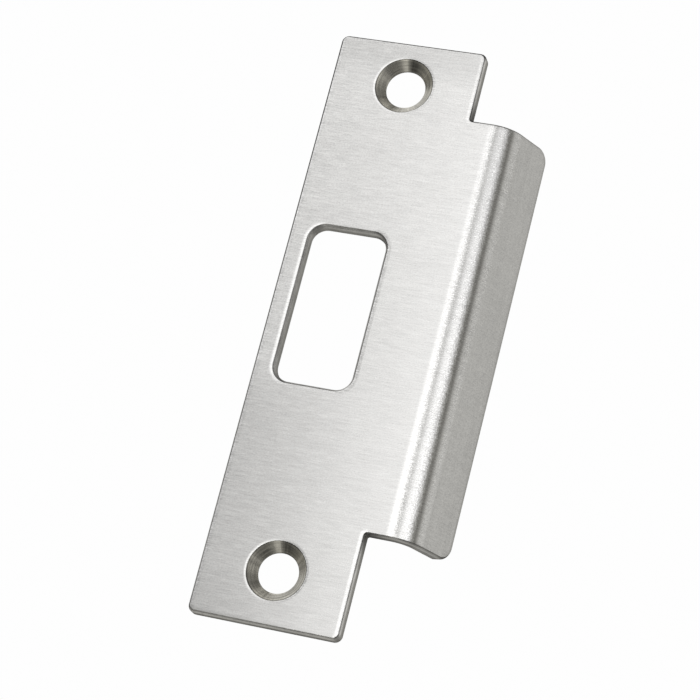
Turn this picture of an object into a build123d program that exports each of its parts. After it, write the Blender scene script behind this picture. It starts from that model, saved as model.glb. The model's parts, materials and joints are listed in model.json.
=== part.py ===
"""A flat door strike plate with a curved lip, pressed from one piece of sheet stainless steel.

It is drawn as it is fitted to a door frame: +Z runs up the frame along the plate's length,
-Y faces the door, and +X is the side that the latch bolt comes from. The origin is on the
back face, halfway between the two screw holes. Lengths are in millimetres, angles in degrees.
"""

import os

from build123d import *

# The sheet: its thickness, the round that pressing leaves on the front edges,
# and the break that takes the burr off the back edges
sheet_thickness = 2.4
front_edge_radius = 0.7
back_edge_break = 0.2

# The flat plate, whose length is the screw spacing and the metal beyond each screw
plate_width = 30.8
screw_spacing = 103.3
top_screw_from_end = 9.5
bottom_screw_from_end = 11.0
plate_corner_radius = 1.5

# The screw holes, countersunk from the front for flush heads
screw_hole_radius = 4.05
countersink_radius = 6.0
countersink_angle = 90.0

# The latch bolt meets the strike this far above the middle of the screws
latch_height = 2.5

# The hole that the latch bolt drops into
latch_hole_width = 15.9
latch_hole_height = 33.2
latch_hole_across = -3.0
latch_hole_corner_radius = 3.1

# The lip, a tab of the same sheet that is bent back past the edge of the door frame
lip_length = 87.6
bend_from_plate_edge = 4.4
bend_inside_radius = 4.4
bend_angle = 61.0
lip_flat = 9.0
lip_corner_radius = 3.1
notch_corner_radius = 0.4

# Values that follow from the driving sizes
half_width = plate_width / 2
plate_top = screw_spacing / 2 + top_screw_from_end
plate_bottom = -screw_spacing / 2 - bottom_screw_from_end
lip_top = latch_height + lip_length / 2
lip_bottom = latch_height - lip_length / 2
lip_root = half_width - sheet_thickness
bend_start = half_width + bend_from_plate_edge
bend_outside_radius = bend_inside_radius + sheet_thickness
lip_way = Vector(1, 0, 0).rotate(Axis.Z, bend_angle)
front_plane = Plane.XZ.offset(sheet_thickness)


def is_near(value, target):
    """True where two measures are the same, but for rounding."""
    return abs(value - target) < 1e-3


def upright_edges(part, across, heights):
    """The edges that run through the sheet at one distance from the middle line."""
    return [
        edge
        for edge in part.edges().filter_by(Axis.Y)
        if is_near(abs(edge.center().X), across)
        and any(is_near(edge.center().Z, height) for height in heights)
    ]


def sheet_side(part, facing, bend_radius):
    """The faces of one side of the bent sheet: its flat, its bend and its lip.

    facing is the way that the flat looks out, and the lip looks the same way turned by
    the angle of the bend.
    """
    lip_facing = facing.rotate(Axis.Z, bend_angle)
    planes = part.faces().filter_by(GeomType.PLANE)
    upright_rounds = [
        face
        for face in part.faces().filter_by(GeomType.CYLINDER)
        if face.axis_of_rotation.is_parallel(Axis.Z)
    ]
    return (
        [face for face in planes if is_near(face.normal_at().get_angle(facing), 0)]
        + [face for face in upright_rounds if is_near(face.radius, bend_radius)]
        + [face for face in planes if is_near(face.normal_at().get_angle(lip_facing), 0)]
    )


def rim_edges(faces):
    """The edges round the outside of a group of faces, without those that two of them share."""
    edges = [edge for face in faces for edge in face.edges()]
    return [edge for edge in edges if edges.count(edge) == 1]


with BuildPart() as strike_plate:
    # The flat plate, drawn on the face that lies against the door frame
    with BuildSketch(Plane.XZ):
        with Locations((0, plate_bottom)):
            Rectangle(plate_width, plate_top - plate_bottom, align=(Align.CENTER, Align.MIN))
    extrude(amount=sheet_thickness)

    # The lip is one section, drawn along its front surface and thickened towards the back
    with BuildSketch(Plane.XY.offset(lip_bottom)):
        with BuildLine():
            strip = Line((lip_root, -sheet_thickness), (bend_start, -sheet_thickness))
            bend_curve = JernArc(strip @ 1, strip % 1, bend_outside_radius, bend_angle)
            PolarLine(bend_curve @ 1, lip_flat, direction=lip_way)
            offset(amount=sheet_thickness, side=Side.LEFT)
        make_face()
    extrude(amount=lip_length)

    # The outline's corners: the plate's four, the two notches beside the lip, the lip's two
    fillet(
        upright_edges(strike_plate, half_width, (plate_top, plate_bottom)), plate_corner_radius
    )
    fillet(upright_edges(strike_plate, half_width, (lip_top, lip_bottom)), notch_corner_radius)
    lip_end = strike_plate.faces().sort_by(Axis((0, 0, 0), lip_way))[-1]
    fillet(lip_end.edges().sort_by(SortBy.LENGTH)[:2], lip_corner_radius)

    # The latch hole goes right through, set off the middle line, away from the lip
    with BuildSketch(Plane.XZ):
        with Locations((latch_hole_across, latch_height)):
            RectangleRounded(latch_hole_width, latch_hole_height, latch_hole_corner_radius)
    extrude(amount=sheet_thickness, mode=Mode.SUBTRACT)

    # Pressing rounds the edges of the front side, and the back edges have their burr taken off
    front_side = sheet_side(strike_plate, Vector(0, -1, 0), bend_outside_radius)
    fillet(rim_edges(front_side), front_edge_radius)
    back_side = sheet_side(strike_plate, Vector(0, 1, 0), bend_inside_radius)
    chamfer(rim_edges(back_side), back_edge_break)

    # The screw holes, countersunk from the front
    with Locations(front_plane):
        with GridLocations(0, screw_spacing, 1, 2):
            CounterSinkHole(
                screw_hole_radius, countersink_radius, sheet_thickness, countersink_angle
            )

strike_plate.part.label = "strike_plate"

os.makedirs("parts", exist_ok=True)
export_step(strike_plate.part, "parts/strike_plate.step")
print("strike_plate", strike_plate.part.bounding_box())
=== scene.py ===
# %% [markdown]
# A door strike plate in satin stainless steel
#
# The real part starts as a flat blank. A press punches its outline and its latch hole out of
# sheet steel, bends one edge back as a lip for the latch bolt to ride over, and a drill cuts
# two countersunk screw holes. This lesson makes it in the same order: the blank is drawn flat,
# its edges get the shape that a punch leaves, and a Geometry Nodes tree bends it. Then it gets
# its three finishes, brushed, sheared and turned, and a studio to be seen in.
#
# The CAD model is the fixed frame that all of this has to fit, so it's loaded first.

# %% Load the frame
import json
import math

import bpy
from mathutils import Matrix, Vector
from mathutils.geometry import delaunay_2d_cdt


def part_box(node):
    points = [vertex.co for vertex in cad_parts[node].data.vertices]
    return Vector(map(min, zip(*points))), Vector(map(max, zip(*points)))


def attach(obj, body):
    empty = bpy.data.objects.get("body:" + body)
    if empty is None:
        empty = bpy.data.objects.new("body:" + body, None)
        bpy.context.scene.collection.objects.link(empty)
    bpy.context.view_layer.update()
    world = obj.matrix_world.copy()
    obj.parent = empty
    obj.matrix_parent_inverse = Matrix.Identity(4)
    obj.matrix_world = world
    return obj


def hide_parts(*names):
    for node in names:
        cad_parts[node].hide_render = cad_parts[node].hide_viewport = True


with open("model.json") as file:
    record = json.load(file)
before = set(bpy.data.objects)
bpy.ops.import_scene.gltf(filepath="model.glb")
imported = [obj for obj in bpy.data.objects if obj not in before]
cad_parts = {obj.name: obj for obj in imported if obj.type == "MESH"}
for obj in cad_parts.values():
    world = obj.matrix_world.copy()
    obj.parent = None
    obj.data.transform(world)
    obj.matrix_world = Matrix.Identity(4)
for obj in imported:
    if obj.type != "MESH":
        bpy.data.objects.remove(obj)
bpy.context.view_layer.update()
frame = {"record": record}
low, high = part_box("strike_plate")
print("CAD box in metres", [round(v, 5) for v in (*low, *high)])

# %% [markdown]
# Sizes
#
# Blender works in metres, so a size in millimetres is written as a number times MM. What the
# frame knows is read from it: the sheet's thickness, the plate's width and length from the
# box, the screw holes from the record. The rest are the few sizes that a maker's drawing of
# the blank would give. The latch hole and the countersinks are up to 0.2 mm smaller than in
# the CAD, and the latch hole's middle is moved by less than 0.1 mm, because the render's edges
# fall on the photographed ones that way. The lip's flat part is 0.1 mm shorter than in the
# CAD. X runs across the plate, towards the lip, and Z runs up it.

# %% Sizes of the sheet and its outline
MM = 0.001
screws = next(m for m in frame["record"]["mounts"] if m["name"] == "screw_holes")

thickness = -low.y
half_width = -low.x
plate_top = high.z
plate_bottom = low.z
screw_spacing = screws["dims"]["spacing_y_mm"] * MM
screw_radius = screws["dims"]["hole_r_mm"] * MM

plate_corner = 1.5 * MM
lip_z = 2.5 * MM
latch_hole_x = -3.07 * MM
latch_hole_z = 2.56 * MM
latch_hole_width = 15.74 * MM
latch_hole_length = 33.0 * MM
latch_hole_corner = 3.1 * MM
countersink_radius = 5.96 * MM

lip_length = 87.6 * MM
lip_corner = 3.1 * MM
notch_corner = 0.4 * MM
lip_flat = 8.90 * MM
easing_start = half_width + 3.79 * MM
easing_radius = 14 * MM
easing_angle = math.radians(5)
bend_start = easing_start + easing_radius * easing_angle
bend_radius = thickness + 4.4 * MM
bend_angle = math.radians(56)
bend_end = bend_start + bend_radius * bend_angle
blank_edge = bend_end + lip_flat
print("blank", round((blank_edge + half_width) / MM, 2), "mm wide before the bend")

# %% [markdown]
# The outline as corners
#
# A punched outline is straight lines joined by round corners, so a list of corners says all
# of it. Each loop runs with the metal on its left: anticlockwise round the blank, clockwise
# round a hole. Moving a loop into the metal then only makes its outer corners tighter and its
# inner corners wider, about the same centres, and every copy keeps the same number of points.
# That is what lets one copy be joined to the next, point by point, to make the edges.
#
# The lip's top and bottom edges need extra points where the sheet will bend. A flat sheet can
# only curve between points, so the bend is divided into strips that turn by a degree each. It
# starts gently, which the CAD's bend doesn't, and how gently is a guess. One more line is held
# close before the bend and one past it, so that smooth shading stays inside it.

# %% Lines across the bend
ARC_STEP = math.radians(7)
STRIP_TURN = math.radians(1)
HOLD = 0.06 * MM
easing_strips = round(easing_angle / STRIP_TURN)
bend_strips = round(bend_angle / STRIP_TURN)
bend_lines = [
    easing_start - 3 * HOLD,
    *(easing_start + easing_radius * STRIP_TURN * i for i in range(easing_strips)),
    *(bend_start + bend_radius * STRIP_TURN * i for i in range(bend_strips + 1)),
    bend_end + 3 * HOLD,
]
print("bend", len(bend_lines), "lines")

# %% Loops with round corners
def turn(vector, angle):
    """A vector in the plane of the sheet, turned anticlockwise."""
    return Matrix.Rotation(angle, 2) @ vector


def with_bend_lines(start, end):
    """The places between two points of a straight edge where the bend lines cross it."""
    if abs(end.x - start.x) < HOLD:
        return []
    crossed = [x for x in bend_lines if min(start.x, end.x) < x < max(start.x, end.x)]
    along = sorted((x - start.x) / (end.x - start.x) for x in crossed)
    return [start.lerp(end, share) for share in along]


def rounded_loop(corners, inset):
    """A loop through round corners, moved into the metal by inset."""
    loop = []
    for i, (x, z, radius) in enumerate(corners):
        corner = Vector((x, z))
        into = (corner - Vector(corners[i - 1][:2])).normalized()
        out = (Vector(corners[(i + 1) % len(corners)][:2]) - corner).normalized()
        angle = into.angle_signed(out) * -1
        convex = angle > 0
        side = 1 if convex else -1
        centre = corner - into * radius + turn(into, side * math.pi / 2) * radius
        reach = radius - inset if convex else radius + inset
        first = turn(into, -side * math.pi / 2) * reach
        steps = max(4, round(abs(angle) / ARC_STEP))
        arc = [centre + turn(first, angle * step / steps) for step in range(steps + 1)]
        if loop:
            loop += with_bend_lines(loop[-1], arc[0])
        loop += arc
    return loop + with_bend_lines(loop[-1], loop[0])


# %% Corners of the blank and of the latch hole
def rectangle(left, right, bottom, top, radius):
    """The corners of a rectangular hole, clockwise, so that the metal is on the left."""
    return [
        (left, bottom, radius),
        (left, top, radius),
        (right, top, radius),
        (right, bottom, radius),
    ]


lip_top = lip_z + lip_length / 2
lip_bottom = lip_z - lip_length / 2
blank_corners = [
    (-half_width, plate_bottom, plate_corner),
    (half_width, plate_bottom, plate_corner),
    (half_width, lip_bottom, notch_corner),
    (blank_edge, lip_bottom, lip_corner),
    (blank_edge, lip_top, lip_corner),
    (half_width, lip_top, notch_corner),
    (half_width, plate_top, plate_corner),
    (-half_width, plate_top, plate_corner),
]
latch_hole_corners = rectangle(
    latch_hole_x - latch_hole_width / 2,
    latch_hole_x + latch_hole_width / 2,
    latch_hole_z - latch_hole_length / 2,
    latch_hole_z + latch_hole_length / 2,
    latch_hole_corner,
)
print("blank loop has", len(rounded_loop(blank_corners, 0)), "points")

# %% [markdown]
# What a punch does to an edge
#
# A punch drags the surface down before it cuts, so the front face dips a little towards the
# edge. Then it turns over sharply, a wide shoulder leads into the cut wall, and the burr at
# the back is taken off. The dip is what catches a bright line of light beside each hole, and
# the sharp turn is the thin dark line next to it. The belt that brushes the face stops at the
# sharp turn, and the rest is left as it was cut. How far the dip, the turn and the shoulder
# reach is a guess, set against the photograph. There the latch hole's edge line is
# wider than the outline's, so the latch hole has the wider shoulder.
#
# The section is walked like a path: each move bends by an arc of one radius, then runs
# straight, and says which finish it has. A countersink is the same walk that stops bending at
# 45 degrees, runs down the cone, and then turns into the hole.
#
# A point is held close beside the end of each arc, so that smooth shading doesn't spread
# the arc's slope over the flat beside it.

# %% Sizes of the edges
BRUSHED, SHEARED, TURNED = 0, 1, 2
dip_radius = 7.2 * MM
dip_tilt = math.radians(5.5)
edge_radius = 0.2 * MM
belt_tilt = math.radians(24)
shoulder_tilt = math.radians(36)
outline_shoulder = 1.0 * MM
latch_hole_shoulder = 1.35 * MM
back_break = 0.12 * MM
rim_dip_radius = 4.5 * MM
rim_radius = 0.3 * MM
rim_belt_tilt = math.radians(15)
throat_radius = 0.12 * MM
cone_tilt = math.radians(45)
wall_tilt = math.radians(90)
back_tilt = math.radians(180)
print("shoulders", [round(r / MM, 2) for r in (outline_shoulder, latch_hole_shoulder)], "mm")


# %% Walking along a section
def walk(inset, moves):
    """The section as points (inset, depth), and the finish of each stretch between them."""
    depth = 0.0
    tilt = 0.0
    points = [(inset + HOLD, depth), (inset, depth)]
    finishes = [BRUSHED]
    for radius, new_tilt, run, finish in moves:
        steps = max(3, round(abs(new_tilt - tilt) / ARC_STEP))
        for step in range(1, steps + 1):
            angle = tilt + (new_tilt - tilt) * step / steps
            across = inset - radius * (math.sin(angle) - math.sin(tilt))
            points.append((across, depth + radius * (math.cos(tilt) - math.cos(angle))))
            finishes.append(finish)
        inset, depth = points[-1]
        tilt = new_tilt
        lengths = (HOLD, run - HOLD, run) if run > 3 * HOLD else ()
        for length in lengths:
            points.append((inset - length * math.cos(tilt), depth + length * math.sin(tilt)))
            finishes.append(finish)
        inset, depth = points[-1]
    points.append((inset + HOLD, depth))
    finishes.append(BRUSHED)
    return points, finishes


def arc_reach(radius, from_tilt, to_tilt):
    """How far an arc of the section goes across and down."""
    across = radius * (math.sin(to_tilt) - math.sin(from_tilt))
    down = radius * (math.cos(from_tilt) - math.cos(to_tilt))
    return across, down


# %% Section of a punched edge
dip_across, dip_down = arc_reach(dip_radius, 0, dip_tilt)
edge_across, edge_down = arc_reach(edge_radius, dip_tilt, shoulder_tilt)


def punched_edge(shoulder):
    """The section of a punched edge with a shoulder of one radius."""
    shoulder_across, shoulder_down = arc_reach(shoulder, shoulder_tilt, wall_tilt)
    wall_run = thickness - dip_down - edge_down - shoulder_down - back_break
    return walk(
        dip_across + edge_across + shoulder_across,
        [
            (dip_radius, dip_tilt, 0, BRUSHED),
            (edge_radius, belt_tilt, 0, BRUSHED),
            (edge_radius, shoulder_tilt, 0, SHEARED),
            (shoulder, wall_tilt, wall_run, SHEARED),
            (back_break, back_tilt, 0, SHEARED),
        ],
    )


outline = punched_edge(outline_shoulder)
print("outline section", len(outline[0]), "points")

# %% Section of a countersink
rim_dip_across, rim_dip_down = arc_reach(rim_dip_radius, 0, dip_tilt)
rim_across, rim_down = arc_reach(rim_radius, dip_tilt, cone_tilt)
throat_across, throat_down = arc_reach(throat_radius, cone_tilt, wall_tilt)
cone_width = countersink_radius - screw_radius
cone_top = cone_width - rim_dip_down - rim_down
cone_run = (cone_top - throat_across) / math.cos(cone_tilt)
throat_depth = cone_width - throat_across + throat_down
countersink = walk(
    cone_top + rim_dip_across + rim_across,
    [
        (rim_dip_radius, dip_tilt, 0, BRUSHED),
        (rim_radius, rim_belt_tilt, 0, BRUSHED),
        (rim_radius, cone_tilt, cone_run, TURNED),
        (throat_radius, wall_tilt, thickness - throat_depth - back_break, TURNED),
        (back_break, back_tilt, 0, TURNED),
    ],
)
print("countersink section", len(countersink[0]), "points")

# %% [markdown]
# Sweeping the sections
#
# Each section is swept round its loop: for every point of the section there is one copy of
# the loop, at that inset and depth, and each is joined to the next with four-sided faces. The
# walk starts and ends on the broad faces, so the first and last loops are all that is left to
# fill. A UV map goes along with it, because the finishes need to know their grain: U runs
# across the grain and V along it. The belt's grain runs straight across the plate, a cut wall's
# marks run down through the sheet, and a countersink's run round the hole.

# %% Joining loops along a section
vertices = []
faces = []
finishes = []
grain = []


def vertex(point, depth):
    """Adds a vertex of the blank and gives its number. The front face lies at -thickness."""
    vertices.append((point.x, depth - thickness, point.y))
    return len(vertices) - 1


def sheet_grain(index):
    """The UV of a vertex where the grain runs straight across the plate."""
    x, _, z = vertices[index]
    return z, -x


def lengths_along(loop):
    """How far each point of a loop lies along it, and its whole length at the end."""
    lengths = [0.0]
    for a, b in zip(loop, loop[1:] + loop[:1]):
        lengths.append(lengths[-1] + (b - a).length)
    return lengths


def sweep(loop_at, section):
    """Joins copies of a loop along a section. Gives the first and last copies' vertices."""
    points, stretches = section
    rows = [[vertex(p, depth) for p in loop_at(inset)] for inset, depth in points]
    along = lengths_along(loop_at(0))
    count = len(rows[0])
    slope = 0.0
    for row, below, finish, start, end in zip(rows, rows[1:], stretches, points, points[1:]):
        next_slope = slope + math.dist(start, end)
        down = (slope, next_slope, next_slope, slope)
        for i in range(count):
            k = (i + 1) % count
            faces.append((row[i], below[i], below[k], row[k]))
            finishes.append(finish)
            around = (along[i], along[i], along[i + 1], along[i + 1])
            if finish == BRUSHED:
                grain.append([sheet_grain(index) for index in faces[-1]])
            elif finish == SHEARED:
                grain.append(list(zip(around, down)))
            else:
                grain.append(list(zip(down, around)))
        slope = next_slope
    return rows[0], rows[-1]


# %% Edges of the blank
CIRCLE_POINTS = 120


def circle_loop(centre, radius):
    """A loop round a hole, clockwise, so that the metal is on the left."""
    spokes = [-2 * math.pi * i / CIRCLE_POINTS for i in range(CIRCLE_POINTS)]
    return [centre + radius * Vector((math.cos(a), math.sin(a))) for a in spokes]


def screw_loop(height):
    """The loops of one screw hole, as a function of how far they lie from its wall."""
    return lambda inset: circle_loop(Vector((0, height)), screw_radius + inset)


rims = [
    sweep(lambda inset: rounded_loop(blank_corners, inset), outline),
    sweep(
        lambda inset: rounded_loop(latch_hole_corners, inset), punched_edge(latch_hole_shoulder)
    ),
    sweep(screw_loop(screw_spacing / 2), countersink),
    sweep(screw_loop(-screw_spacing / 2), countersink),
]
print("edges", len(faces), "faces")

# %% [markdown]
# Filling the broad faces
#
# What is left is a flat region with three holes, once at the front and once at the back. A
# constrained Delaunay triangulation fills it without adding a point. The bend lines go in as
# edges that it must keep, so that no triangle reaches across the bend, and the triangles that
# lie in a hole are dropped.

# %% Front and back
ONLY_INSIDE = 1
TOLERANCE = 1e-6


def spans_of_the_bend(flat, outer_count):
    """Edges from the lip's bottom to its top, one for each bend line."""
    spans = []
    for line in bend_lines:
        ends = [i for i in range(outer_count) if abs(flat[i].x - line) < HOLD / 10]
        spans.append(tuple(ends))
    return spans


def inside(point, loop):
    """True where a point is inside a loop."""
    crossings = 0
    for a, b in zip(loop, loop[1:] + loop[:1]):
        if (a.y > point.y) != (b.y > point.y):
            crossings += point.x < a.x + (b.x - a.x) * (point.y - a.y) / (b.y - a.y)
    return crossings % 2 == 1


def fill(loops, facing_back):
    """Fills the region inside the first loop and outside the others."""
    order = [index for loop in loops for index in loop]
    flat = [Vector((vertices[index][0], vertices[index][2])) for index in order]
    edges = []
    start = 0
    for loop in loops:
        count = len(loop)
        edges += [(start + i, start + (i + 1) % count) for i in range(count)]
        start += count
    edges += spans_of_the_bend(flat, len(loops[0]))
    scaled = [point / MM for point in flat]
    outer = list(range(len(loops[0])))
    filled = delaunay_2d_cdt(scaled, edges, [outer], ONLY_INSIDE, TOLERANCE)
    triangles, sources = filled[2:4]
    holes = [[Vector((vertices[i][0], vertices[i][2])) for i in loop] for loop in loops[1:]]
    for triangle in triangles:
        corners = [sources[i][0] for i in triangle]
        middle = sum((flat[i] for i in corners), Vector((0, 0))) / 3
        if any(inside(middle, hole) for hole in holes):
            continue
        a, b, c = (flat[i] for i in corners)
        anticlockwise = (b - a).cross(c - a) > 0
        if anticlockwise == facing_back:
            corners.reverse()
        faces.append(tuple(order[i] for i in corners))
        finishes.append(BRUSHED)
        grain.append([sheet_grain(index) for index in faces[-1]])


fill([front for front, _ in rims], facing_back=False)
fill([back for _, back in rims], facing_back=True)
print("blank", len(vertices), "vertices,", len(faces), "faces")

# %% The blank as a mesh
blank_mesh = bpy.data.meshes.new("blank")
blank_mesh.from_pydata(vertices, [], faces)
blank_mesh.attributes.new("finish", "INT", "FACE").data.foreach_set("value", finishes)
grain_map = blank_mesh.uv_layers.new(name="grain")
for face, corners in zip(blank_mesh.polygons, grain):
    for corner, place in zip(face.loop_indices, corners):
        grain_map.uv[corner].vector = place
blank_mesh.shade_smooth()
blank_mesh.validate()
blank = bpy.data.objects.new("strike_plate_steel", blank_mesh)
bpy.context.scene.collection.objects.link(blank)

# %% [markdown]
# Nodes by the line
#
# Shader trees and Geometry Nodes trees are both made of nodes and links, so a few small helpers
# serve for all of them. The first adds a node with its settings and inputs, where an input is
# either a number or another node's output, and the next ones do sums with them. The ramp is a
# curve through named stops, for whatever changes with an angle, a depth or a height. Patterns
# are laid out by the place that each point had on the flat blank, which the blank keeps as
# flat_place when it's bent.

# %% Helpers for node trees
def add(tree, kind, inputs=None, **settings):
    """A new node. Its inputs are given by name or number, as values or as outputs to link."""
    node = tree.nodes.new(kind)
    for name, value in settings.items():
        setattr(node, name, value)
    for name, value in (inputs or {}).items():
        if isinstance(value, bpy.types.NodeSocket):
            tree.links.new(value, node.inputs[name])
        else:
            node.inputs[name].default_value = value
    return node


def sums(tree, operation, *values):
    """The output of a Math node."""
    return add(tree, "ShaderNodeMath", dict(enumerate(values)), operation=operation).outputs[0]


def product(tree, first, *others):
    """All the factors multiplied."""
    for factor in others:
        first = sums(tree, "MULTIPLY", first, factor)
    return first


def blend_of(tree, base, *terms):
    """base plus each value times its share."""
    total = base
    for value, share in terms:
        total = sums(tree, "MULTIPLY_ADD", value, share, total)
    return total


def parts_of(tree, vector):
    """The x, y and z of a vector."""
    return add(tree, "ShaderNodeSeparateXYZ", {0: vector}).outputs


# %% Patterns laid out on the flat blank
def flat_place(tree):
    """Where a point lay on the flat blank, in metres."""
    return add(tree, "ShaderNodeAttribute", attribute_name="flat_place").outputs["Vector"]


def scaled_place(tree, size=(1, 1, 1)):
    """Where a point lay on the flat blank, counted in pattern sizes given in millimetres."""
    inputs = {0: flat_place(tree), 1: tuple(1 / (length * MM) for length in size)}
    return add(tree, "ShaderNodeVectorMath", inputs, operation="MULTIPLY").outputs[0]


def depth_in_sheet(tree):
    """How far below the front face a point lies, in millimetres."""
    _, y, _ = parts_of(tree, flat_place(tree))
    return sums(tree, "DIVIDE", sums(tree, "ADD", y, thickness), MM)


def noise(tree, size, detail=2.0, roughness=0.5):
    """Smooth random values about zero, with patches of one size in millimetres."""
    inputs = {"Vector": scaled_place(tree, size), "Scale": 1.0}
    inputs |= {"Detail": detail, "Roughness": roughness}
    texture = add(tree, "ShaderNodeTexNoise", inputs)
    return sums(tree, "SUBTRACT", texture.outputs["Fac"], 0.5)


# %% A curve through named stops
def ramp(tree, place, stops, tint=(1.0, 1.0, 1.0)):
    """A grey that follows place through stops (place, brightness), with a tint in its darks."""
    first, last = stops[0][0], stops[-1][0]
    brightest = max(brightness for _, brightness in stops)
    share = add(tree, "ShaderNodeMapRange", {0: place, 1: first, 2: last}).outputs[0]
    node = add(tree, "ShaderNodeValToRGB", {"Fac": share})
    elements = node.color_ramp.elements
    while len(elements) < len(stops):
        elements.new(0.5)
    for element, (at, brightness) in zip(elements, stops):
        element.position = (at - first) / (last - first)
        dark = max(0.0, 1.0 - brightness)
        colour = [brightness / brightest * (1 - dark + dark * t) for t in tint]
        element.color = (*colour, 1.0)
    inputs = {0: node.outputs["Color"], "Scale": brightest}
    return add(tree, "ShaderNodeVectorMath", inputs, operation="SCALE").outputs[0]


# %% Parts that every material has
def new_material(name):
    """An empty material with a Principled shader, and its tree."""
    material = bpy.data.materials.new(name)
    material.use_nodes = True
    tree = material.node_tree
    tree.nodes.clear()
    shader = add(tree, "ShaderNodeBsdfPrincipled", {"Metallic": 1.0})
    add(tree, "ShaderNodeOutputMaterial", {"Surface": shader.outputs[0]})
    return material, tree, shader


def tinted(tree, colour, brightness):
    """A colour times a brightness that varies over the surface."""
    tint = add(tree, "ShaderNodeVectorMath", {0: colour, "Scale": brightness}, operation="SCALE")
    return tint.outputs[0]


def tilted_normal(tree, across, along):
    """A normal leaning by small slopes across and along the grain."""
    inputs = {0: sums(tree, "ADD", across, 0.5), 1: sums(tree, "ADD", along, 0.5), 2: 1.0}
    colour = add(tree, "ShaderNodeCombineXYZ", inputs).outputs[0]
    inputs = {"Color": colour, "Strength": 1.0}
    return add(tree, "ShaderNodeNormalMap", inputs, uv_map="grain").outputs[0]


# %% [markdown]
# Brushed steel
#
# An abrasive belt runs across the sheet before it's punched and leaves fine scratches, all
# one way. Light scatters across the scratches and hardly along them, so highlights stretch
# into bands along the plate while staying crisp from side to side. That is the shader's
# anisotropy, with its tangent taken from the grain map. The marks that are large enough to
# see are noise laid out on the flat blank, so they follow the sheet round the bend: hairlines
# stretched along the grain, and specks where a scratch starts or stops. The outside of a bend
# is stretched, which opens the scratches and roughens it, so there each speck tips the surface
# and frays the bands' edges. The sharpest specks there carry painted glints, bright spots
# painted into the colour. The lip has faint marks along it.
#
# The rest is set against the photograph, and its cause in the real plate isn't known. The
# bands of light on the bend slant, so the bend's normals lean by up to 2.7 degrees, one way
# above band_level and the other way below it. The mesh doesn't: its bend is even. The colour
# paints the rest as light and shade: a painted highlight makes the bend brighter at its lower
# end, and painted shade darkens it in two strips towards its upper end. Painted shade also
# darkens the face near the plate's upper end and towards its lower left corner. Those are
# ramps over the height, and the strips are a ramp across.

# %% Tones of the face, set against the photograph
bend_fade = 0.7 * MM
band_lean = 0.95
band_level = 8 * MM
# Painted highlight: the bend's colour is brighter towards its lower end.
bend_lower_highlight = [(-40, 1.11), (5, 1.0)]
# Painted shade: two strips across the bend are darker, more so towards its upper end.
shaded_strips = [
    (18.9, 0.0),
    (19.8, 0.36),
    (20.8, 0.0),
    (21.2, 0.0),
    (21.9, 1.0),
    (23.4, 1.0),
    (24.1, 0.0),
]
strips_upper_end = [(5, 1.0), (45, 0.85)]
# Painted shade: the face is darker near the plate's upper end and towards its lower left corner.
upper_end_shade = [(52, 1.0), (57, 0.89), (61, 0.87)]
lower_left_shade = [(-61, 0.83), (-50, 0.89), (-42, 0.88), (-18, 0.88), (-10, 1.0)]
lower_left_start = 9 * MM
lower_left_full = -12 * MM
print("normals lean by", round(math.degrees(band_lean * lip_length), 2), "degrees over the lip")


# %% Changes across the sheet
def step_at(tree, x, low_x, high_x):
    """0 before one place on the flat blank and 1 past another."""
    inputs = {0: x, 1: low_x, 2: high_x}
    return add(tree, "ShaderNodeMapRange", inputs, interpolation_type="SMOOTHSTEP").outputs[0]


def share_between(tree, x, start, end):
    """0 at one place on the flat blank, 1 at another, and even in between."""
    return add(tree, "ShaderNodeMapRange", {0: x, 1: start, 2: end}).outputs[0]


def toned(tree, share, place, stops):
    """A ramp over a place where share is 1, and no change where share is 0."""
    change = sums(tree, "SUBTRACT", ramp(tree, place, stops), 1.0)
    return blend_of(tree, 1.0, (share, change))


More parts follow.
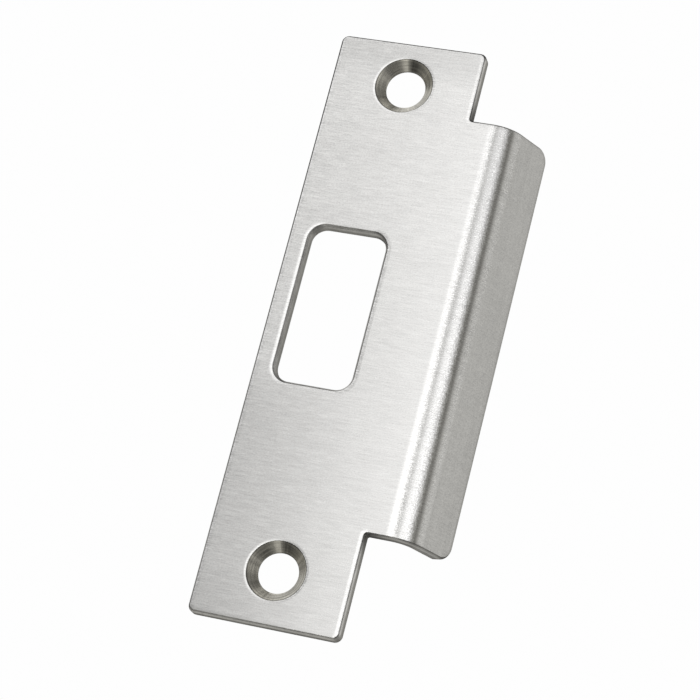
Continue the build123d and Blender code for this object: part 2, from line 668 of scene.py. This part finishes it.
# %% Material for the broad faces
def brushed_steel():
    """Fine scratches across the plate, rougher round the bend."""
    material, tree, shader = new_material("brushed_steel")
    x, _, z = parts_of(tree, flat_place(tree))
    entered = step_at(tree, x, easing_start - bend_fade, bend_start + bend_fade)
    on_lip = step_at(tree, x, bend_end - bend_fade, bend_end + bend_fade)
    stretched = sums(tree, "SUBTRACT", entered, on_lip)

    specks = noise(tree, (0.34, 2.0, 0.24), detail=1.0)
    grit = noise(tree, (0.26, 2.0, 0.16), detail=1.0)
    hairlines = noise(tree, (3.4, 2.0, 0.2), detail=2.0, roughness=0.6)
    belt_marks = noise(tree, (30.0, 9.0, 1.1), detail=1.0)
    clouds = noise(tree, (6.0, 9.0, 5.0), detail=3.0)
    blotches = noise(tree, (1.3, 2.0, 1.1), detail=1.0)
    slide_marks = noise(tree, (0.9, 9.0, 45.0), detail=2.0)
    # Painted glints: the brightest grit on the bend is painted as bright spots in the colour.
    painted_glints = sums(tree, "MAXIMUM", sums(tree, "SUBTRACT", grit, 0.1), 0.0)
    brightness = blend_of(
        tree,
        1.0,
        (specks, blend_of(tree, 0.56, (stretched, -0.3))),
        (grit, blend_of(tree, 0.0, (stretched, 0.9))),
        (painted_glints, blend_of(tree, 0.0, (stretched, 4.0))),
        (slide_marks, blend_of(tree, 0.0, (on_lip, 0.2))),
        (hairlines, blend_of(tree, 0.66, (on_lip, -0.4))),
        (blotches, blend_of(tree, 0.0, (on_lip, 0.10))),
        (belt_marks, 0.07),
        (clouds, 0.10),
    )
    flat_x, _, height = parts_of(tree, scaled_place(tree))
    left = share_between(tree, x, lower_left_start, lower_left_full)
    # Painted light and shade: ramps that brighten and darken the colour by height and across the
    # bend.
    brightness = product(
        tree,
        brightness,
        ramp(tree, height, upper_end_shade),
        toned(tree, stretched, height, bend_lower_highlight),
        toned(tree, ramp(tree, flat_x, shaded_strips), height, strips_upper_end),
        toned(tree, left, height, lower_left_shade),
    )
    bent = share_between(tree, x, easing_start, bend_end)
    lean = product(tree, sums(tree, "SUBTRACT", band_level, z), band_lean, bent)
    opened = product(tree, blend_of(tree, lean, (grit, 0.08)), stretched)
    across = blend_of(tree, 0.0, (hairlines, 0.08), (specks, 0.05))
    along = blend_of(tree, opened, (specks, 0.02), (hairlines, 0.015), (clouds, 0.006))
    tangent = add(tree, "ShaderNodeTangent", direction_type="UV_MAP", uv_map="grain")
    steel = (0.66, 0.656, 0.648)
    tree.links.new(tinted(tree, steel, brightness), shader.inputs["Base Color"])
    tree.links.new(blend_of(tree, 0.30, (clouds, 0.04)), shader.inputs["Roughness"])
    tree.links.new(tilted_normal(tree, across, along), shader.inputs["Normal"])
    tree.links.new(tangent.outputs[0], shader.inputs["Tangent"])
    shader.inputs["Anisotropic"].default_value = 0.9
    return material


brushed = brushed_steel()
print("brushed steel", len(brushed.node_tree.nodes), "nodes")

# %% [markdown]
# Sheared edges
#
# The punch leaves the cut wall bare. Its upper part is rubbed smooth by the tool, the lower
# part is torn and dull, and the tool's wear draws fine marks down through the sheet. The depth
# through the sheet is the blank's Y, so one ramp over it colours the wall.
#
# The tones are set against the photograph, and they paint light and shade into the wall's
# colour. The ramps over the depth hold the zones of the cut and painted shade in the turn above
# the wall, and the latch hole's wall is painted darker than the outline's, as shade in the
# hole, so there are two ramps. Painted shade darkens the inner corners beside the lip, and the
# turn of the plate's top edge and of its left edge, where the dark line fades out downwards. A
# painted highlight makes the lip's wall the brightest, up to its corner, where painted shade
# darkens it. A dull wall shines little at a low angle, hence the darker specular tint.

# %% Tones of the walls, set against the photograph
# Over the depth: the zones of the cut, with painted shade in the turn above the wall. The latch
# hole's wall is painted darker, as shade in the hole.
outline_wall = [
    (0.0, 0.52),
    (0.09, 0.52),
    (0.18, 1.1),
    (0.4, 1.45),
    (0.8, 1.5),
    (1.3, 1.4),
    (1.8, 1.3),
    (2.2, 1.2),
    (2.4, 0.9),
]
latch_hole_wall = [
    (0.0, 0.55),
    (0.1, 0.55),
    (0.22, 0.85),
    (0.5, 1.1),
    (1.2, 1.25),
    (1.7, 1.2),
    (2.2, 1.2),
    (2.4, 1.0),
]
# Painted highlight along the lip's wall, and painted shade at its corner.
lip_wall_light_and_shade = [(25, 1.0), (28, 1.35), (32, 1.35), (34.3, 0.6), (35.2, 0.6), (35.8, 1.0)]
# Painted shade in the inner corners beside the lip.
inner_corner_shade = [(0, 0.28), (1.5, 0.4), (4, 0.8), (8, 1.0)]
# Painted shade in the turn of the plate's top and left edges: its depth, reach and strength.
turn_shade_depth = [(0, 1), (0.4, 1), (0.6, 0.25), (0.9, 0), (2.4, 0)]
dark_edge = 0.5 * MM
dark_fade = 45 * MM
turn_shade_share = 0.85
print("wall ramps reach", outline_wall[-1][0], "of", round(thickness / MM, 2), "mm")


# %% Places along the walls
def distance(tree, place, middle):
    """How far a coordinate lies from a middle, to either side."""
    return sums(tree, "ABSOLUTE", sums(tree, "SUBTRACT", place, middle))


def in_latch_hole(tree):
    """1 at the latch hole's wall, up to a sheet's thickness from it, and 0 at the outline."""
    x, _, z = parts_of(tree, flat_place(tree))
    across = distance(tree, x, latch_hole_x)
    along = distance(tree, z, latch_hole_z)
    near_across = sums(tree, "LESS_THAN", across, latch_hole_width / 2 + thickness)
    near_along = sums(tree, "LESS_THAN", along, latch_hole_length / 2 + thickness)
    return product(tree, near_across, near_along)


def from_inner_corner(tree):
    """How far a point lies from the nearer inner corner beside the lip, in millimetres."""
    x, _, z = parts_of(tree, flat_place(tree))
    across = sums(tree, "SUBTRACT", x, half_width)
    up = sums(tree, "SUBTRACT", distance(tree, z, lip_z), lip_length / 2)
    way = add(tree, "ShaderNodeCombineXYZ", {0: across, 2: up}).outputs[0]
    length = add(tree, "ShaderNodeVectorMath", {0: way}, operation="LENGTH").outputs["Value"]
    return sums(tree, "DIVIDE", length, MM)


# Painted shade in the turn of the plate's top edge and down its left edge.
def painted_turn_shade(tree, depth):
    """1 in the turn of the plate's top edge, less and less down its left edge, 0 elsewhere."""
    x, _, z = parts_of(tree, flat_place(tree))
    top = plate_top - dark_edge
    on_top = step_at(tree, z, top - plate_corner, top)
    on_left = sums(tree, "LESS_THAN", x, plate_corner - half_width)
    upper = share_between(tree, z, -dark_fade, dark_fade)
    along = sums(tree, "MAXIMUM", on_top, product(tree, on_left, upper))
    return product(tree, along, ramp(tree, depth, turn_shade_depth))


# %% Material for the cut walls
def sheared_steel():
    """A bare cut wall, dull and marked down through the sheet."""
    material, tree, shader = new_material("sheared_steel")
    marks = noise(tree, (0.22, 3.0, 0.22), detail=3.0, roughness=0.65)
    stains = noise(tree, (2.6, 1.2, 2.6), detail=2.0)
    depth = depth_in_sheet(tree)
    walls = {2: ramp(tree, depth, outline_wall), 3: ramp(tree, depth, latch_hole_wall)}
    wall = add(tree, "ShaderNodeMix", {0: in_latch_hole(tree)} | walls).outputs[0]
    flat_x, _, _ = parts_of(tree, scaled_place(tree))
    # Besides marks and stains, the colour carries painted shade and a painted highlight.
    brightness = product(
        tree,
        blend_of(tree, wall, (marks, 0.9), (stains, 0.6)),
        ramp(tree, from_inner_corner(tree), inner_corner_shade),
        blend_of(tree, 1.0, (painted_turn_shade(tree, depth), -turn_shade_share)),
        ramp(tree, flat_x, lip_wall_light_and_shade),
    )
    steel = (0.545, 0.54, 0.532)
    tree.links.new(tinted(tree, steel, brightness), shader.inputs["Base Color"])
    tree.links.new(blend_of(tree, 0.36, (marks, 0.3)), shader.inputs["Roughness"])
    shader.inputs["Specular Tint"].default_value = (0.6, 0.6, 0.6, 1.0)
    slope = product(tree, marks, 0.15)
    tree.links.new(tilted_normal(tree, slope, slope), shader.inputs["Normal"])
    return material


sheared = sheared_steel()
print("sheared steel", len(sheared.node_tree.nodes), "nodes")

# %% [markdown]
# Turned countersinks
#
# A countersink is cut by a turning tool, so its marks are rings. They scatter light down the
# slope and not round the hole, so each part of the cone shows one piece of the studio, and
# the cone falls into light and dark sectors. Where such a tool chatters, it leaves a sector
# lighter or darker still. Those are noise laid out by the direction from the hole's middle, so
# they run straight down the slope and close up all the way round.
#
# A ramp over that direction adds the broad sectors that both holes share in the photograph. Its
# stops are set against it. Those sectors are painted reflections of a studio that this one only
# comes near, and not marks in the steel. The dark line at the rim, a little wider at the lower
# side, is painted shade, and the bright ring inside it is a painted highlight. Both are a ramp
# over the depth, set the same way.

# %% Tones of the cones, set against the photograph
# Painted reflections of the studio, by direction round each hole.
painted_reflection_sectors = [
    (-180, 1.1),
    (-162, 0.75),
    (-138, 0.85),
    (-120, 1.35),
    (-98, 1.3),
    (-80, 1.1),
    (-60, 0.85),
    (-40, 0.75),
    (-20, 1.0),
    (0, 1.35),
    (20, 1.25),
    (42, 1.4),
    (58, 0.8),
    (72, 0.5),
    (84, 0.42),
    (96, 0.85),
    (108, 1.05),
    (122, 1.1),
    (142, 1.0),
    (160, 1.15),
    (180, 1.1),
]
# Painted shade in the dark line at the rim, wider at the lower side, and a painted highlight in
# the ring inside it.
rim_shade_and_highlight = [(0.0, 0.42), (0.14, 0.45), (0.2, 1.3), (0.3, 1.3), (0.42, 1.0), (2.4, 1.0)]
rim_shade_lean = 0.06
ROUND_A_UNIT_CIRCLE = 6
print("cones have", len(painted_reflection_sectors), "stops round them")


# %% Directions round a screw hole
def spoke_of_hole(tree):
    """The direction of a point from the middle of its screw hole, and which hole it is."""
    x, _, z = parts_of(tree, flat_place(tree))
    which_hole = sums(tree, "SIGN", z)
    up = sums(tree, "MULTIPLY_ADD", which_hole, -screw_spacing / 2, z)
    spoke = add(tree, "ShaderNodeCombineXYZ", {0: x, 2: up}).outputs[0]
    spoke = add(tree, "ShaderNodeVectorMath", {0: spoke}, operation="NORMALIZE").outputs[0]
    return spoke, which_hole


def sectors(tree, count, detail):
    """Noise that changes round each screw hole and not down its cone."""
    spoke, which_hole = spoke_of_hole(tree)
    inputs = {0: spoke, "Scale": count / ROUND_A_UNIT_CIRCLE}
    spread = add(tree, "ShaderNodeVectorMath", inputs, operation="SCALE").outputs[0]
    apart = add(tree, "ShaderNodeCombineXYZ", {1: which_hole}).outputs[0]
    place = add(tree, "ShaderNodeVectorMath", {0: spread, 1: apart}, operation="ADD").outputs[0]
    inputs = {"Vector": place, "Scale": 1.0, "Detail": detail}
    texture = add(tree, "ShaderNodeTexNoise", inputs)
    return sums(tree, "SUBTRACT", texture.outputs["Fac"], 0.5)


def turned_round(tree, stops):
    """A ramp round each screw hole, by degrees anticlockwise from the lip's side."""
    spoke, _ = spoke_of_hole(tree)
    x, _, z = parts_of(tree, spoke)
    return ramp(tree, sums(tree, "DEGREES", sums(tree, "ARCTAN2", z, x)), stops)


# %% Material for the cones
def turned_steel():
    """Rings round a countersink, with light and dark sectors."""
    material, tree, shader = new_material("turned_steel")
    rings = noise(tree, (5.0, 0.26, 5.0), detail=2.0)
    chatter = sectors(tree, 9, detail=1.0)
    streaks = sectors(tree, 60, detail=2.0)
    spoke, _ = spoke_of_hole(tree)
    _, _, upper_side = parts_of(tree, spoke)
    brightness = product(
        tree,
        blend_of(tree, 1.0, (rings, 1.5), (chatter, 1.2), (streaks, 0.8)),
        ramp(tree, blend_of(tree, depth_in_sheet(tree), (upper_side, rim_shade_lean)), rim_shade_and_highlight),
        turned_round(tree, painted_reflection_sectors),
    )
    tangent = add(tree, "ShaderNodeTangent", direction_type="UV_MAP", uv_map="grain")
    steel = (0.45, 0.437, 0.40)
    tree.links.new(tinted(tree, steel, brightness), shader.inputs["Base Color"])
    tree.links.new(blend_of(tree, 0.26, (chatter, 0.1)), shader.inputs["Roughness"])
    across = product(tree, rings, 0.12)
    along = product(tree, streaks, 0.1)
    tree.links.new(tilted_normal(tree, across, along), shader.inputs["Normal"])
    tree.links.new(tangent.outputs[0], shader.inputs["Tangent"])
    shader.inputs["Anisotropic"].default_value = 0.7
    return material


turned = turned_steel()
print("turned steel", len(turned.node_tree.nodes), "nodes")

# %% [markdown]
# The bend
#
# A press brake wraps the sheet round a bar: what lies before the bend stays, what lies in it
# turns through an angle that grows with the distance, and what lies past it is carried round
# by the full angle. That is a rule for where each point goes, so Geometry Nodes can do it with
# a few sums, and the bend can be changed later by its inputs. The rule goes by where a point
# lay on the flat blank, which the tree stores first, and it moves the point from where it is
# now. So bends can follow one another, as long as the far one is made before the near one.
# Here there are two, the bend itself and the gentle stretch that eases into it. The tree ends
# in Realize Instances and one Set Material for each finish.

# %% The rule for one bend
def bend(tree, shape, start, radius, angle, thickness):
    """Bends a shape, past a line on the flat blank, about a bar behind it."""
    place = add(tree, "GeometryNodeInputPosition").outputs[0]
    x, y, z = parts_of(tree, place)
    inputs = {"Name": "flat_place"}
    flat = add(tree, "GeometryNodeInputNamedAttribute", inputs, data_type="FLOAT_VECTOR")
    flat_x, _, _ = parts_of(tree, flat.outputs["Attribute"])

    swung = sums(tree, "DIVIDE", sums(tree, "SUBTRACT", flat_x, start), radius)
    swung = sums(tree, "MAXIMUM", sums(tree, "MINIMUM", swung, angle), 0.0)
    sine = sums(tree, "SINE", swung)
    cosine = sums(tree, "COSINE", swung)
    last_in_bend = sums(tree, "MULTIPLY_ADD", radius, angle, start)
    hinge = sums(tree, "MINIMUM", flat_x, last_in_bend)
    past = sums(tree, "SUBTRACT", x, hinge)
    from_bar = sums(tree, "SUBTRACT", radius, sums(tree, "ADD", y, thickness))

    new_x = sums(tree, "MINIMUM", flat_x, start)
    new_x = sums(tree, "MULTIPLY_ADD", from_bar, sine, new_x)
    new_x = sums(tree, "MULTIPLY_ADD", past, cosine, new_x)
    new_y = sums(tree, "SUBTRACT", radius, thickness)
    new_y = sums(tree, "SUBTRACT", new_y, product(tree, from_bar, cosine))
    new_y = sums(tree, "MULTIPLY_ADD", past, sine, new_y)
    new_place = add(tree, "ShaderNodeCombineXYZ", {0: new_x, 1: new_y, 2: z}).outputs[0]
    inputs = {"Geometry": shape, "Position": new_place}
    return add(tree, "GeometryNodeSetPosition", inputs).outputs[0]


# %% The tree with its named inputs
def press_brake():
    """The tree, with an input for each size of the bend and for each finish."""
    tree = bpy.data.node_groups.new("press_brake", "GeometryNodeTree")
    sizes = ("Easing start", "Easing radius", "Easing angle", "Bend radius", "Bend angle")
    sockets = {"Geometry": "Geometry", "Sheet thickness": "Float"}
    sockets |= {name: "Float" for name in sizes}
    sockets |= {name: "Material" for name in ("Brushed", "Sheared", "Turned")}
    for name, kind in sockets.items():
        tree.interface.new_socket(name, in_out="INPUT", socket_type=f"NodeSocket{kind}")
    tree.interface.new_socket("Geometry", in_out="OUTPUT", socket_type="NodeSocketGeometry")
    given = add(tree, "NodeGroupInput").outputs
    easing = [given[name] for name in sizes[:3]]

    place = add(tree, "GeometryNodeInputPosition").outputs[0]
    inputs = {"Geometry": given["Geometry"], "Name": "flat_place", "Value": place}
    kept = add(tree, "GeometryNodeStoreNamedAttribute", inputs, data_type="FLOAT_VECTOR")

    start = sums(tree, "MULTIPLY_ADD", easing[1], easing[2], easing[0])
    thick = given["Sheet thickness"]
    shape = bend(tree, kept.outputs[0], start, given["Bend radius"], given["Bend angle"], thick)
    shape = bend(tree, shape, *easing, thick)

    shape = add(tree, "GeometryNodeRealizeInstances", {"Geometry": shape}).outputs[0]
    finish = add(tree, "GeometryNodeInputNamedAttribute", {"Name": "finish"}, data_type="INT")
    for number, name in ((BRUSHED, "Brushed"), (SHEARED, "Sheared"), (TURNED, "Turned")):
        chosen = sums(tree, "COMPARE", finish.outputs["Attribute"], float(number), 0.1)
        inputs = {"Geometry": shape, "Selection": chosen, "Material": given[name]}
        shape = add(tree, "GeometryNodeSetMaterial", inputs).outputs[0]
    add(tree, "NodeGroupOutput", {"Geometry": shape})
    return tree


bending = press_brake()
print("press brake", len(bending.nodes), "nodes")

# %% Bend the blank and keep the result as a plain mesh
brake = blank.modifiers.new("press_brake", "NODES")
brake.node_group = bending
settings = {
    "Easing start": easing_start,
    "Easing radius": easing_radius,
    "Easing angle": easing_angle,
    "Bend radius": bend_radius,
    "Bend angle": bend_angle,
    "Sheet thickness": thickness,
    "Brushed": brushed,
    "Sheared": sheared,
    "Turned": turned,
}
blank_mesh.materials.append(brushed)
for socket in bending.interface.items_tree:
    if socket.in_out == "INPUT" and socket.name in settings:
        brake[socket.identifier] = settings[socket.name]

evaluated = blank.evaluated_get(bpy.context.evaluated_depsgraph_get())
bent_mesh = bpy.data.meshes.new_from_object(evaluated)
blank.modifiers.remove(brake)
blank.data = bent_mesh
bent_mesh.name = "strike_plate_steel"

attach(blank, "root")
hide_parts("strike_plate")
triangles = sum(len(face.vertices) - 2 for face in bent_mesh.polygons)
print("strike plate", triangles, "triangles,", [m.name for m in bent_mesh.materials])

# %% [markdown]
# The floor
#
# A plain pale floor lies well below the plate, so that the camera, which looks up at it, sees
# only the white beyond. It's kept out of the steel's reflections, as a photographer keeps a
# black card under a shiny part, because bare metal shows everything round it.

# %% Floor
FLOOR_HEIGHT = -0.36
FLOOR_REACH = 9.0
FLOOR_WHITE = (0.86, 0.86, 0.855)


def pale_floor():
    """A large square sheet of matt white."""
    corners = [(-1, -1), (1, -1), (1, 1), (-1, 1)]
    places = [(x * FLOOR_REACH, y * FLOOR_REACH, FLOOR_HEIGHT) for x, y in corners]
    mesh = bpy.data.meshes.new("floor")
    mesh.from_pydata(places, [], [(0, 1, 2, 3)])
    material, tree, shader = new_material("floor_white")
    shader.inputs["Metallic"].default_value = 0.0
    shader.inputs["Roughness"].default_value = 0.9
    shader.inputs["Specular IOR Level"].default_value = 0.1
    mottle = add(tree, "ShaderNodeTexNoise", {"Scale": 9.0, "Detail": 3.0}).outputs["Fac"]
    brightness = blend_of(tree, 0.99, (mottle, 0.02))
    tree.links.new(tinted(tree, FLOOR_WHITE, brightness), shader.inputs["Base Color"])
    mesh.materials.append(material)
    floor = bpy.data.objects.new("floor", mesh)
    bpy.context.scene.collection.objects.link(floor)
    floor.visible_glossy = False
    print("floor", 2 * FLOOR_REACH, "m wide, at z", FLOOR_HEIGHT)


pale_floor()

# %% [markdown]
# The studio
#
# Brushed metal looks the way its surroundings do, so the studio is most of the picture. It's
# a ring of tall soft lights and dark gaps, drawn on the world by direction: one ramp goes
# round the plate and one says how high the lights reach. Two more do the same for the dim
# light that comes up from below. Azimuth 0 is straight out from the plate's face and grows
# towards the lip. The bend turns through that ring like a cylinder mirror, so each light shows
# as a bright band along it and each gap as a dark one. The lights on the left stand high,
# those in front hang low and those on the right are even, so each side has a height of its
# own, and gives way to the next between two azimuths. The stops are set until the bands
# come where the photograph has them, so this is a studio that could have made it, and not the
# real one. The camera sees plain white behind the plate.

# %% Lights and gaps by direction
around = [
    (-180, 0.34),
    (-172, 0.15),
    (-158, 0.15),
    (-148, 0.72),
    (-110, 0.76),
    (-98, 0.42),
    (-84, 0.36),
    (-72, 1.05),
    (-35, 1.2),
    (-27, 1.25),
    (-23, 0.98),
    (-20, 0.72),
    (-16.5, 0.99),
    (-15, 1.2),
    (-12.5, 1.95),
    (-9.5, 2.04),
    (-2.5, 1.45),
    (5, 0.9),
    (11, 0.9),
    (17, 1.36),
    (28, 1.62),
    (37, 1.62),
    (46, 1.08),
    (56, 0.35),
    (63, 0.16),
    (69, 0.17),
    (75, 0.5),
    (82, 0.69),
    (106, 0.735),
    (111, 0.67),
    (118, 0.42),
    (180, 0.34),
]
height_on_left = [
    (-90, 0.0),
    (-25, 0.03),
    (-12, 0.13),
    (0, 0.27),
    (8, 0.5),
    (18, 0.93),
    (30, 1.32),
    (45, 1.6),
    (60, 1.25),
    (75, 0.5),
    (90, 0.15),
]
height_in_front = [
    (-90, 0.0),
    (-22, 0.05),
    (-8, 1.1),
    (4, 1.4),
    (12, 1.22),
    (18, 1.02),
    (25, 0.8),
    (35, 0.66),
    (65, 0.35),
    (90, 0.15),
]
height_on_right = [
    (-90, 0.0),
    (-20, 0.1),
    (-8, 0.92),
    (8, 1.03),
    (18, 1.0),
    (30, 0.99),
    (48, 0.9),
    (62, 0.55),
    (90, 0.15),
]
next_sides = [(-18.5, -13, height_in_front), (50, 75, height_on_right)]
around_below = [
    (-180, 1.0),
    (-115, 1.0),
    (-95, 0.75),
    (-78, 0.65),
    (-62, 0.4),
    (-45, 0.4),
    (-25, 1.3),
    (-5, 2.2),
    (10, 1.4),
    (28, 0.45),
    (60, 0.4),
    (80, 0.5),
    (165, 0.5),
    (180, 1.0),
]
downward = [(-90, 0.5), (-60, 0.48), (-24, 0.36), (-6, 0.0), (90, 0.0)]
dark_tint = (1.0, 0.975, 0.86)
BACKDROP = (0.99, 0.99, 0.99, 1.0)
print("ring of light", len(around), "stops, below it", len(around_below))


# %% Light from all round
def studio():
    """The world, which lights the plate by direction and is plain white to the camera."""
    world = bpy.data.worlds.new("studio")
    world.use_nodes = True
    tree = world.node_tree
    tree.nodes.clear()
    direction = add(tree, "ShaderNodeTexCoord").outputs["Generated"]
    x, y, z = parts_of(tree, direction)
    azimuth = sums(tree, "DEGREES", sums(tree, "ARCTAN2", x, product(tree, y, -1.0)))
    elevation = sums(tree, "DEGREES", sums(tree, "ARCSINE", z))
    ring = ramp(tree, azimuth, around, dark_tint)
    height = ramp(tree, elevation, height_on_left)
    for first, last, stops in next_sides:
        inputs = {0: azimuth, 1: first, 2: last}
        side = add(tree, "ShaderNodeMapRange", inputs, interpolation_type="SMOOTHSTEP").outputs[0]
        inputs = {0: side, 2: height, 3: ramp(tree, elevation, stops)}
        height = add(tree, "ShaderNodeMix", inputs).outputs[0]
    ring_below = ramp(tree, azimuth, around_below)
    depth = ramp(tree, elevation, downward, dark_tint)
    below = add(tree, "ShaderNodeVectorMath", {0: ring_below, 1: depth}, operation="MULTIPLY")
    inputs = {0: ring, 1: height, 2: below.outputs[0]}
    light = add(tree, "ShaderNodeVectorMath", inputs, operation="MULTIPLY_ADD").outputs[0]
    studio_light = add(tree, "ShaderNodeBackground", {"Color": light, "Strength": 1.0})
    backdrop = add(tree, "ShaderNodeBackground", {"Color": BACKDROP, "Strength": 1.0})
    seen = add(tree, "ShaderNodeLightPath").outputs["Is Camera Ray"]
    inputs = {0: seen, 1: studio_light.outputs[0], 2: backdrop.outputs[0]}
    shown = add(tree, "ShaderNodeMixShader", inputs)
    add(tree, "ShaderNodeOutputWorld", {"Surface": shown.outputs[0]})
    bpy.context.scene.world = world
    print("studio", len(tree.nodes), "nodes")


studio()

# %% Soft light on the floor
floor_light = bpy.data.lights.new("floor_light", "SUN")
floor_light.energy = 1.6
floor_light.angle = math.radians(60)
floor_lamp = bpy.data.objects.new("floor_light", floor_light)
floor_lamp.visible_glossy = False
bpy.context.scene.collection.objects.link(floor_lamp)
print("floor light", round(floor_light.energy, 2), "watts a square metre")

# %% [markdown]
# The camera
#
# The photograph is taken with a long lens from below the plate and a little to the lip's
# side, and it's turned so that the plate leans to the right. The camera is placed by those
# angles: it stands at a distance from a point on the plate's face, looks at it, and rolls.
# The view transform is Standard, which leaves the steel's tones as they are lit.

# %% Camera at the photograph's angle
AZIMUTH = math.radians(16.50)
ELEVATION = math.radians(-16.97)
ROLL = math.radians(14.66)
LENS_LENGTH = 134.79
SENSOR_WIDTH = 36.0
DISTANCE = 512.7 * MM
AIM = Vector((3.12 * MM, -thickness, -5.62 * MM))


def photo_camera():
    """A camera at those angles, made the scene's own."""
    level = math.cos(ELEVATION)
    out = -math.cos(AZIMUTH) * level
    toward = Vector((math.sin(AZIMUTH) * level, out, math.sin(ELEVATION)))
    lens = bpy.data.cameras.new("photo_camera")
    lens.sensor_width = SENSOR_WIDTH
    lens.lens = LENS_LENGTH
    lens.clip_start = 0.01
    lens.clip_end = 50.0
    camera = bpy.data.objects.new("photo_camera", lens)
    upright = toward.to_track_quat("Z", "Y").to_matrix().to_4x4()
    rolled = upright @ Matrix.Rotation(ROLL, 4, "Z")
    camera.matrix_world = Matrix.Translation(AIM + toward * DISTANCE) @ rolled
    bpy.context.scene.collection.objects.link(camera)
    bpy.context.scene.camera = camera
    return camera


camera = photo_camera()
bpy.context.scene.view_settings.view_transform = "Standard"
print("camera at", [round(v / MM, 2) for v in camera.matrix_world.translation], "mm")
